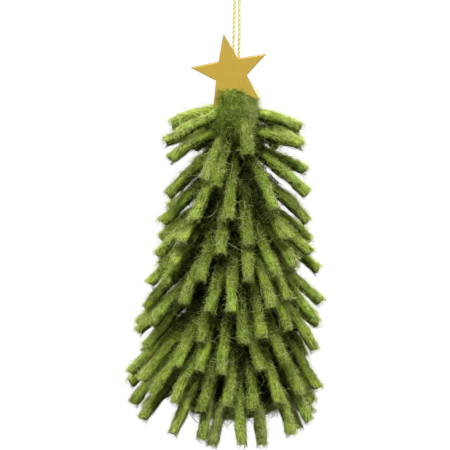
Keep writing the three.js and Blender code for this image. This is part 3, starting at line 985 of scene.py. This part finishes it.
class ORNAMENT_OT_core(bpy.types.Operator):
    """Wraps the core in felt, closes it underneath, and gives the tip, the cone and the base their wool"""

    bl_idname = "ornament.core"
    bl_label = "Core"

    def execute(self, context):
        felt = context.scene.ornament_felt
        rng = np.random.default_rng(CORE_SEED)
        self.wrap(felt)
        self.disc(felt)
        wound = {key: self.winding(felt, rng, *row) for key, row in WINDINGS.items()}
        add_fibres("core_fuzz", [wound["cone"], wound["collar"], wound["base"]], felt, rng)
        add_fibres("inner_tangle", [wound["tangle"], wound["fill"], wound["gusset"]], felt, rng)
        add_fibres("tip_fuzz", [wound["dome"], self.tuft(felt, rng), self.wisps(felt, rng)], felt, rng)
        return {"FINISHED"}

    def wrap(self, felt):
        """The felt wrap: its profile turned round, with waves round it and up it."""
        profile = core_profile()
        turn = np.arange(CORE_COLUMNS) * TAU / CORE_COLUMNS
        step = profile[:, 1:] / MM
        lumps = 0.16 * np.sin(3 * turn + 0.21 * step) + 0.13 * np.sin(7 * turn - 0.37 * step)
        lumps = (lumps + 0.1 * np.sin(11 * turn + 1.3 * step)) * MM
        lumps = lumps * np.clip(profile[:, :1] / (4 * MM), 0, 1)
        places, faces, maps, radius = turned_skin(profile, lumps)
        wool = np.stack(np.broadcast_arrays(radius / MM, step, radius * turn / MM), -1).reshape(-1, 3)
        wool = np.concatenate([wool, [[0, step[0, 0], 0], [0, step[-1, 0], 0]]])
        # Painted shade: the wrap is darker along the cone, fading out at the base and at the dome's top.
        painted_wrap_shade = np.clip((112 - step) / 4, 0, 1) * np.clip(step / 8 - 0.2, 0, 1)
        values = {
            "wool_place": wool,
            "wool_tint": np.full(len(wool), 0.45),
            "wool_cut": np.zeros(len(wool)),
            "wool_depth": np.concatenate([np.repeat(painted_wrap_shade, CORE_COLUMNS), [1, 0]]),
        }
        # The wrap's colours are dimmed to 0.45 as painted shade.
        finish = felt_finish("wrap_wool", felt, 0.45)
        wrap = add_piece("felt_wrap_skin", places, faces, finish, maps, values)
        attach(wrap, "tree")
        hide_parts("core_wrap")

    def disc(self, felt):
        """The felt disc under the base, with an uneven rim."""
        profile = disc_profile()
        turn = np.arange(CORE_COLUMNS) * TAU / CORE_COLUMNS
        lumps = 0.22 * np.sin(5 * turn + 1) + 0.16 * np.sin(13 * turn) + 0.1 * np.sin(23 * turn + 2)
        lumps = lumps * MM * (profile[:, :1] / BASE_RADIUS) ** 4
        places, faces, maps, _ = turned_skin(profile, lumps)
        values = {
            "wool_place": places / MM * (1, 1, 4) + (31, 17, 5),
            "wool_tint": np.full(len(places), 1.0),
            "wool_cut": np.zeros(len(places)),
            "wool_depth": np.zeros(len(places)),
        }
        # The disc's colours are raised 2.2 times as painted light on its rim.
        finish = felt_finish("base_wool", felt, 2.2)
        disc = add_piece("felt_base_disc", places, faces, finish, maps, values)
        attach(disc, "tree")
        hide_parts("base_disc")

    def winding(self, felt, rng, count, height, length, lift, climb, pale, stout, sides):
        """Fibres that wind round the core at their own slopes.

        Each follows the wrap's radius at its height, plus a lift that rises and falls along it.
        """
        q = np.linspace(0, 1, 7)
        height = rng.uniform(*height, count)[:, None] * MM
        turn = rng.uniform(0, TAU, count)[:, None]
        if sides:
            turn = np.pi * np.floor(turn / np.pi) + rng.normal(np.pi / 2, 0.4, (count, 1))
        long = rng.uniform(*length, count)[:, None] * MM
        way = rng.normal(0, climb, count)[:, None]
        at = height + long * np.sin(way) * q
        above = np.clip((at - TAPER_HEIGHT) / DOME_HEIGHT, 0, 0.97)
        radius = wrap_radius(at) * np.cos(above * np.pi / 2) ** 0.6
        hand = np.sign(rng.random(count) - 0.5)[:, None]
        spin = turn + hand * long * np.cos(way) * q / np.maximum(radius, 3 * MM)
        arch = np.sin(np.pi * np.minimum(1, q + 0.15))
        raised = (rng.uniform(*lift, count)[:, None] * arch - 0.05) * MM
        at = np.minimum(at, TIP_HEIGHT - 0.4 * MM)
        thick = stout * felt.fibre_radius * rng.uniform(0.8, 1.2, count)[:, None]
        # Painted shade: fibres are darker along the cone, less towards the dome and none at the base; the
        # pale share paints light.
        step = height[:, 0] / MM
        depth = np.clip((110 - step) / 5, 0, 1) * np.clip(step / 8 - 0.3, 0, 1)
        depth = depth * (1 - 0.35 * np.clip(step / 20 - 4, 0, 1))
        return on_tree(radius + raised, spin, at), thick * np.array([0.8, 1, 1, 1, 0.7]), depth - pale

    def tuft(self, felt, rng):
        """Fibres of the cushion of wool in front of the star's legs, from the roots up to the notch.

        A fibre lies at a distance in front of the star's leaning face that is greatest in the middle of
        the cushion, and curves as it runs down it. All lengths are in millimetres until the end.
        """
        count, stations = TUFT_COUNT, 6
        centre, half_width, highest = -1.6, 4.2, 120.7
        q = np.linspace(0, 1, stations)
        high = 104 + 16.2 * rng.random(count)[:, None] ** 0.8
        narrowing = np.sqrt(np.clip(1 - (np.maximum(high - 112, 0) / 9) ** 2, 0, 1))
        wide = half_width * narrowing * rng.uniform(-1, 1, count)[:, None] + centre
        step = rng.uniform(1.5, 4.2, count)[:, None] / (stations - 1)
        way = rng.normal(-1.57, 1, count)[:, None] + rng.normal(0, 0.8, count)[:, None] * q
        x = wide + np.cumsum(np.cos(way) * step, 1)
        z = np.minimum(high + np.cumsum(np.sin(way) * step, 1), highest)
        middle = np.sqrt(np.clip(1 - ((x - centre) / 5.4) ** 2, 0, 1))
        middle = middle * np.clip((121.5 - z) / 5, 0, 1) ** 0.5
        lift = rng.random(count)[:, None] ** 2 * 1.3 * np.sin(np.pi * np.minimum(1, q + 0.1))
        y = -4.85 + (z - 121) * 0.105 - 1.3 * middle - lift
        lines = np.stack([x, y, z], -1) * MM - (0, 0, HANG_DROP)
        radius = felt.fibre_radius * rng.uniform(0.8, 1.2, count)[:, None] * np.array([0.9, 1, 1, 0.7])
        high, wide = high[:, 0], wide[:, 0]
        # Painted shade on the lower fibres of the tuft, with random clumps of tone.
        clump = 0.16 * np.sin(1.5 * wide + 0.6 * high) + 0.1 * np.sin(0.9 * high - 2.3 * wide)
        return lines, radius, 0.35 * np.clip((115 - high) / 8, 0, 1) - 0.02 + clump

    def wisps(self, felt, rng):
        """Long fibres that stand out and up from the sides of the tip, most of them on the right.

        Each starts near the dome's wall, drops as the cube of the way along it and drifts round the tip
        as the square.
        """
        count = TIP_WISP_COUNT
        q = np.linspace(0, 1, 5)
        mostly = rng.random(count) < 0.85
        turn = np.where(mostly, rng.normal(85, 24, count), rng.uniform(-180, 180, count))
        height = rng.uniform(107, 118, count)[:, None]
        long = rng.uniform(2, 6.5, count)[:, None]
        rise = rng.normal(-0.1, 0.6, count)[:, None]
        out = 4 + long * np.cos(rise) * q
        spin = np.radians(turn)[:, None] + rng.normal(0, 0.35, count)[:, None] * q**2
        at = height + long * np.sin(rise) * q - 1.2 * q**3
        radius = felt.fibre_radius * rng.uniform(0.9, 1.2, count)[:, None] * np.array([1, 1, 0.7])
        # Painted light: the tip's wisps are all paled.
        return on_tree(out * MM, spin, at * MM), radius, np.full(count, -0.65)


class ORNAMENT_OT_cords(bpy.types.Operator):
    """Lays the cut wool cords of every tier, side by side, each with its fuzz"""

    bl_idname = "ornament.cords"
    bl_label = "Wool cords"

    def execute(self, context):
        felt = context.scene.ornament_felt
        finish = felt_finish("cord_wool", felt)
        for level in range(len(TIERS)):
            cords = tier_cords(level)
            name = f"tier_{level + 1:02d}"
            for quarter, side in enumerate(SIDES):
                chosen = some(cords, cords["quarter"] == quarter)
                places, faces, maps, values = lay_cords(chosen, felt)
                piece = add_piece(f"{name}_{side}_cords", places, faces, finish, maps, values)
                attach(piece, "tree")
                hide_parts(f"{name}_{side}")
            rng = np.random.default_rng(TIER_SEED + level)
            add_fibres(f"{name}_fuzz", cord_fibres(cords, felt, rng), felt, rng)
        return {"FINISHED"}


class ORNAMENT_OT_hairs(bpy.types.Operator):
    """Strews long loose hairs over the cords"""

    bl_idname = "ornament.hairs"
    bl_label = "Loose hairs"

    def execute(self, context):
        felt = context.scene.ornament_felt
        rng = np.random.default_rng(HAIR_SEED)
        add_fibres("loose_hairs", [self.lines(felt, rng)], felt, rng, self.shades)
        return {"FINISHED"}

    def lines(self, felt, rng):
        """Hairs that wander over the cords: the bearing of each changes along it as a quadratic.

        Each lies at about the cords' reach from the cone, a little higher in its middle.
        """
        count, stations = LOOSE_HAIR_COUNT, 16
        q = np.linspace(0, 1, stations)
        height = rng.uniform(14, 104, count)[:, None] * MM
        turn = rng.uniform(0, TAU, count)[:, None]
        step = rng.uniform(6, 17, count)[:, None] * MM / (stations - 1)
        way = rng.normal(-1.3, 0.8, count)[:, None]
        wind = rng.normal(0, 1.4, count)[:, None]
        bearing = way + wind * q + rng.normal(0, 1.2, count)[:, None] * q**2
        at = height + np.cumsum(np.sin(bearing), 1) * step
        aside = np.cumsum(np.cos(bearing), 1) * step
        cover = 11 * MM + wrap_radius(np.maximum(at, 0)) * 0.95
        lift = cover + rng.uniform(-1.5, 1.5, count)[:, None] * MM + 1.2 * MM * np.sin(np.pi * q)
        lines = on_tree(lift, turn + aside / cover, np.maximum(at, 1 * MM))
        radius = felt.fibre_radius * rng.uniform(0.8, 1.1, count)[:, None] * np.ones(stations - 2)
        return lines, radius, np.zeros(count)

    def shades(self, rng, depth):
        """Pale places on the shade map, whatever the depth."""
        return rng.uniform(*LOOSE_HAIR_SHADES, len(depth))


def star_outline(radius, inset):
    """Points round a five-pointed star, moved in by an inset measured square to its edges.

    Corners alternate between the points and the notches. Moving the two edges at a corner in by the
    same distance moves the corner by that distance over the sine of half its angle.
    """
    corner = np.arange(10)
    angle = np.radians(90 + 36 * corner + STAR_TURN)
    reach = radius * np.where(corner % 2 == 0, 1, STAR_NOTCH)
    place = np.stack([reach * np.cos(angle), reach * np.sin(angle)], -1)
    ahead = unit(np.roll(place, -1, 0) - place)
    behind = unit(np.roll(place, 1, 0) - place)
    edge_in = np.stack([-ahead[:, 1], ahead[:, 0]], -1)
    before_in = np.stack([behind[:, 1], -behind[:, 0]], -1)
    bisector = edge_in + before_in
    moved = place + inset * bisector / (0.5 * (bisector**2).sum(-1, keepdims=True))
    edge_points = 12
    share = np.linspace(0, 1, edge_points + 1)[:-1, None]
    following = np.roll(moved, -1, 0)
    return (moved[:, None] * (1 - share) + following[:, None] * share).reshape(-1, 2)


class ORNAMENT_OT_star(bpy.types.Operator):
    """Cuts the flat star, rounds its edges and paints it satin gold"""

    bl_idname = "ornament.star"
    bl_label = "Star"

    def execute(self, context):
        star = context.scene.ornament_star
        half, bend = star.thickness / 2, star.edge_round
        face_shares = [0.06, 0.25, 0.45, 0.65, 0.82, 0.94]
        edge_wear = [0, 0.1, 0.4, 0.8, 1]
        sweep = np.linspace(0, np.pi / 2, len(edge_wear))
        inset = bend * (1 - np.sin(sweep))
        depth = half - bend * (1 - np.cos(sweep))
        levels = [(star_outline(star.radius, bend) * share, half) for share in face_shares]
        levels += [(star_outline(star.radius, i), d) for i, d in zip(inset, depth)]
        rings = [np.column_stack([line, np.full(len(line), -high)]) for line, high in levels]
        rings += [np.column_stack([line, np.full(len(line), high)]) for line, high in levels[::-1]]
        columns = len(rings[0])
        flat = np.concatenate([*rings, [[0, 0, -half]], [[0, 0, half]]])
        lean = np.radians(90 - STAR_LEAN)
        upright = np.array([(1, 0, 0), (0, np.cos(lean), -np.sin(lean)), (0, np.sin(lean), np.cos(lean))])
        places = flat @ upright.T + np.array(STAR_PLACE) - (0, 0, HANG_DROP)
        faces, maps = tube_faces(1, len(rings), columns)
        worn = np.concatenate([np.zeros(len(face_shares)), edge_wear])
        bare = np.repeat(np.concatenate([worn, worn[::-1]]), columns)
        values = {"star_place": flat / MM, "bare_edge": np.concatenate([bare, [0, 0]])}
        piece = add_piece("gold_star", places, faces, self.finish(star), {WHOLE_MAP: maps}, values)
        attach(piece, "tree")
        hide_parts("star")
        return {"FINISHED"}

    def finish(self, star):
        """Satin gold paint over wood, with a faint grain, worn brown where the edge is bare."""
        warm_gold, dull_gold, pale_gold = (0.6, 0.36, 0.05, 1), (0.36, 0.27, 0.05, 1), (0.78, 0.62, 0.2, 1)
        material, tree, shader = new_finish("star_gold")
        place = carried(tree, "star_place", "Vector")
        cloud = noise(tree, place, 0.16, 3)
        grain = noise(tree, stretched(tree, place, (2.4, 0.14, 1)), 1.1, 3)
        speck = noise(tree, place, 6, 2)
        colour = mixed(tree, between(tree, cloud, 0.3, 0.7, 0, 0.5), opaque(star.gold), warm_gold)
        colour = mixed(tree, between(tree, grain, 0.45, 0.75, 0, 0.22), colour, dull_gold)
        colour = mixed(tree, between(tree, speck, 0.62, 0.75, 0, 0.25), colour, pale_gold)
        bare = maths(tree, "ADD", carried(tree, "bare_edge"), maths(tree, "MULTIPLY", speck, 0.3))
        feed(tree, shader, {
            "Base Color": mixed(tree, between(tree, bare, 0.35, 1.05), colour, opaque(star.brown)),
            "Roughness": between(tree, grain, 0.2, 0.8, 0.42, 0.62),
            "Normal": bumps(tree, grain, 0.25, 0.0001),
            "Metallic": 0.15,
        })
        return material


def loop_route():
    """Points along the thread: up one strand, over the bight and down the other.

    Each stretch between two given points is a cubic whose slopes follow the points either side,
    and the line is then divided evenly.
    """
    fine_points, even_points = 2000, 420
    points = np.concatenate([STRAND * (-1, 1), STRAND[-2::-1]])
    gap = np.linalg.norm(np.diff(points, axis=0), axis=1)
    at = run_along(points)
    slope = np.gradient(points, at, axis=0)
    fine = np.linspace(0, at[-1], fine_points)
    cell = np.clip(np.searchsorted(at, fine) - 1, 0, len(gap) - 1)
    h = gap[cell][:, None]
    t = ((fine - at[cell]) / gap[cell])[:, None]
    line = (
        (2 * t**3 - 3 * t**2 + 1) * points[cell] + (t**3 - 2 * t**2 + t) * h * slope[cell]
        + (3 * t**2 - 2 * t**3) * points[cell + 1] + (t**3 - t**2) * h * slope[cell + 1]
    )
    run = run_along(line)
    even = np.linspace(0, run[-1], even_points)
    x, z = np.interp(even, run, line[:, 0]), np.interp(even, run, line[:, 1])
    return np.stack([x, 0 * x, z], -1), run[-1]


def knot_route(thickness):
    """A closed line that knots itself: a circle run twice while it goes up and down three times."""
    t = np.linspace(0, TAU, 141)
    x, y = np.sin(t) + 2 * np.sin(2 * t), np.cos(t) - 2 * np.cos(2 * t)
    line = (KNOT_RADIUS - thickness) / 3 * np.stack([x, y, -2.2 * np.sin(3 * t)], -1)
    return line + (0, 0, TIP_HEIGHT - HANG_DROP)


def twisted(path, distance, radius, ply, pitch):
    """Two plies wound round a path: each centre circles the path once a pitch, half a turn apart.

    A ply's ring lies in the plane of the direction out from the path and the one square to it.
    """
    columns = 8
    way = unit(np.gradient(path, axis=0))
    hint = np.where(np.abs(way[:, 1:2]) < 0.9, (0.0, 1, 0), (1.0, 0, 0))
    first = unit(np.cross(way, hint))
    second = np.cross(way, first)
    spin = (TAU * distance / pitch + np.array([[0], [np.pi]]))[..., None]
    out = np.cos(spin) * first + np.sin(spin) * second
    aside = np.cos(spin) * second - np.sin(spin) * first
    around = (np.arange(columns) * TAU / columns)[:, None]
    centre = path + (radius - ply) * out
    ring = np.cos(around) * out[:, :, None] + np.sin(around) * aside[:, :, None]
    skin = centre[:, :, None] + ply * ring
    places = np.concatenate([skin.reshape(2, -1, 3), centre[:, :1], centre[:, -1:]], 1).reshape(-1, 3)
    faces, maps = tube_faces(2, len(path), columns)
    along = (distance / MM)[None, :, None]
    lay = np.stack(np.broadcast_arrays(np.cos(around)[:, 0], np.sin(around)[:, 0], along), -1)
    lay = np.broadcast_to(lay.reshape(-1, 3), (2, len(path) * columns, 3))
    lay = np.concatenate([lay, np.zeros((2, 2, 3))], 1).reshape(-1, 3)
    return places, faces, {WHOLE_MAP: maps}, {"thread_place": lay}


class ORNAMENT_OT_loop(bpy.types.Operator):
    """Twists the gold thread, leads it up, over and down, and ties its knot"""

    bl_idname = "ornament.loop"
    bl_label = "Thread loop"

    def execute(self, context):
        thread = context.scene.ornament_thread
        finish = self.finish(thread)
        path, length = loop_route()
        distance = np.linspace(0, length, len(path))
        radius = thread.diameter / 2
        places, faces, maps, values = twisted(path, distance, radius, radius * 0.64, thread.pitch)
        loop = add_piece("gold_thread_loop", places, faces, finish, maps, values)
        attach(loop, "hanging_loop")
        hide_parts("hanging_cord")

        drawn = radius * 0.9
        knot_line = knot_route(drawn)
        run = run_along(knot_line)
        places, faces, maps, values = twisted(knot_line, run, drawn, radius * 0.5, run[-1] / 5)
        knot = add_piece("gold_thread_knot", places, faces, finish, maps, values)
        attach(knot, "knot")
        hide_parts("loop_knot")
        return {"FINISHED"}

    def finish(self, thread):
        """Metallic thread: fine filaments along each ply, from a painted shade of gold to a bright gold,
        with painted glints.
        """
        material, tree, shader = new_finish("gold_thread")
        place = carried(tree, "thread_place", "Vector")
        filament = noise(tree, stretched(tree, place, (1, 1, 0.35)), 3.2, 3, 0.65)
        # Painted glints of pale gold.
        painted_glint = between(tree, noise(tree, place, 1.6, 2), 0.55, 0.72, 0, 0.8)
        colour = mixed(tree, between(tree, filament, 0.36, 0.6), opaque(thread.shade), opaque(thread.gold))
        feed(tree, shader, {
            "Base Color": mixed(tree, painted_glint, colour, (0.95, 0.9, 0.6, 1)),
            "Roughness": between(tree, filament, 0.3, 0.7, 0.5, 0.28),
            "Normal": bumps(tree, filament, 0.5, 0.00008),
            "Metallic": 0.55,
        })
        return material


class ORNAMENT_OT_filling(bpy.types.Operator):
    """Gives the foam filling inside the core its beaded finish"""

    bl_idname = "ornament.filling"
    bl_label = "Filling"

    def execute(self, context):
        material, tree, shader = new_finish("foam_beads")
        place = node(tree, "ShaderNodeTexCoord").outputs["Object"]
        bead = node(tree, "ShaderNodeTexVoronoi", {"Vector": place, "Scale": 420.0}).outputs["Distance"]
        # The grey between the beads is painted shade in the gaps.
        bead_white, painted_gap_shade = (0.86, 0.87, 0.83, 1), (0.62, 0.63, 0.58, 1)
        feed(tree, shader, {
            "Base Color": mixed(tree, between(tree, bead, 0.2, 0.7), bead_white, painted_gap_shade),
            "Normal": bumps(tree, bead, 0.4, 0.0003, invert=True),
            "Roughness": 0.8,
        })
        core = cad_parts["foam_core"]
        core.data.materials.clear()
        core.data.materials.append(material)
        return {"FINISHED"}


class ORNAMENT_OT_stage(bpy.types.Operator):
    """Sets the pale floor, the soft light and the camera"""

    bl_idname = "ornament.stage"
    bl_label = "Stage"

    def execute(self, context):
        stage = context.scene.ornament_stage
        self.floor(stage)
        self.surroundings(context.scene)
        self.lamps(context.scene, stage)
        self.camera(context.scene, stage)
        context.scene.view_settings.view_transform = "Standard"
        return {"FINISHED"}

    def floor(self, stage):
        """A flat grid below the tree, white to the camera but for the tree's shadow."""
        side = np.linspace(-FLOOR_HALF, FLOOR_HALF, FLOOR_CELLS + 1)
        x, y = np.meshgrid(side, side)
        places = np.stack([x, y, 0 * x - HANG_DROP - stage.floor_gap], -1).reshape(-1, 3)
        row = FLOOR_CELLS + 1
        cell = (np.arange(FLOOR_CELLS)[:, None] * row + np.arange(FLOOR_CELLS)).ravel()
        corners = np.stack([cell, cell + 1, cell + row + 1, cell + row], -1)
        material, tree, shader = new_finish("pale_floor")
        feed(tree, shader, {
            "Base Color": (0.12, 0.12, 0.115, 1), "Roughness": 0.9, "Specular IOR Level": 0.1,
        })
        glow = node(tree, "ShaderNodeEmission", {"Color": WHITE, "Strength": 1.2})
        share = maths(tree, "MULTIPLY", background_rays(tree), 0.85)
        both = node(tree, "ShaderNodeMixShader", {0: share, 1: shader.outputs[0], 2: glow.outputs[0]})
        feed(tree, tree.nodes["Material Output"], {"Surface": both.outputs[0]})
        floor = add_piece("pale_floor", places, [corners], material)

    def surroundings(self, scene):
        """White surroundings, whose light on the tree comes from behind it."""
        world = bpy.data.worlds.new("white_room")
        scene.world = world
        world.use_nodes = True
        tree = world.node_tree
        way = node(tree, "ShaderNodeTexCoord").outputs["Generated"]
        behind = node(tree, "ShaderNodeSeparateXYZ", {0: way}).outputs["Y"]
        glow = between(tree, behind, -0.25, 0.6, 0.01, 0.85)
        strength = node(tree, "ShaderNodeMix", {0: background_rays(tree), 2: glow, 3: 1.0}).outputs[0]
        feed(tree, tree.nodes["Background"], {"Strength": strength, "Color": WHITE})

    def lamps(self, scene, stage):
        """Wide round lamps above the tree, one before it and one behind it, and a faint one in front."""
        middle = Vector((0, 0, LAMP_AIM - HANG_DROP))
        for key, (place, size) in LAMPS.items():
            lamp = bpy.data.lights.new(f"{key}_lamp", "AREA")
            lamp.shape, lamp.size, lamp.energy = "DISK", size, getattr(stage, f"{key}_light")
            holder = bpy.data.objects.new(f"{key}_lamp", lamp)
            holder.location = Vector(place)
            holder.rotation_euler = (middle - holder.location).to_track_quat("-Z", "Y").to_euler()
            scene.collection.objects.link(holder)

    def camera(self, scene, stage):
        """A long lens in front, raised, and turned a little about its own axis."""
        raised, roll = math.radians(CAMERA_RISE), math.radians(CAMERA_ROLL)
        back = Vector((0, -math.cos(raised), math.sin(raised)))
        level, steep = Vector((1, 0, 0)), Vector((0, math.sin(raised), math.cos(raised)))
        right = level * math.cos(roll) - steep * math.sin(roll)
        up = level * math.sin(roll) + steep * math.cos(roll)
        aim = Vector((0, 0, AIM_HEIGHT - HANG_DROP)) - right * AIM_LEFT + up * AIM_UP
        lens = bpy.data.cameras.new("camera")
        lens.sensor_width = SENSOR
        lens.lens = SENSOR * stage.distance / stage.width
        lens.clip_start, lens.clip_end = 0.01, 50
        camera = bpy.data.objects.new("camera", lens)
        turn = Matrix((right, up, back)).transposed()
        camera.matrix_world = Matrix.Translation(aim + back * stage.distance) @ turn.to_4x4()
        scene.collection.objects.link(camera)
        scene.camera = camera


class ORNAMENT_PT_panel(bpy.types.Panel):
    """Lists the ornament's pieces and their sizes and colours"""

    bl_idname = "ORNAMENT_PT_panel"
    bl_label = "Felt Tree Ornament"
    bl_space_type = "VIEW_3D"
    bl_region_type = "UI"
    bl_category = "Ornament"

    def draw(self, context):
        for key, (group, operators) in GROUPS.items():
            box = self.layout.box()
            for operator in operators:
                box.operator(operator.bl_idname)
            for name in group.__annotations__:
                box.prop(getattr(context.scene, key), name)


GROUPS = {
    "ornament_stage": (StageSettings, [ORNAMENT_OT_stage]),
    "ornament_thread": (ThreadSettings, [ORNAMENT_OT_loop]),
    "ornament_star": (StarSettings, [ORNAMENT_OT_star]),
    "ornament_felt": (
        FeltSettings, [ORNAMENT_OT_core, ORNAMENT_OT_cords, ORNAMENT_OT_hairs, ORNAMENT_OT_filling]
    ),
}


def register():
    """Registers the settings, the operators and the panel."""
    for key, (group, operators) in GROUPS.items():
        bpy.utils.register_class(group)
        setattr(bpy.types.Scene, key, PointerProperty(type=group))
        for operator in operators:
            bpy.utils.register_class(operator)
    bpy.utils.register_class(ORNAMENT_PT_panel)


def unregister():
    """Takes them away again, in the other order."""
    bpy.utils.unregister_class(ORNAMENT_PT_panel)
    for key, (group, operators) in reversed(GROUPS.items()):
        for operator in reversed(operators):
            bpy.utils.unregister_class(operator)
        delattr(bpy.types.Scene, key)
        bpy.utils.unregister_class(group)


def main():
    """Builds everything in order."""
    register()
    bpy.ops.ornament.stage()
    bpy.ops.ornament.loop()
    bpy.ops.ornament.star()
    bpy.ops.ornament.core()
    bpy.ops.ornament.cords()
    bpy.ops.ornament.hairs()
    bpy.ops.ornament.filling()


if __name__ == "__main__":
    main()
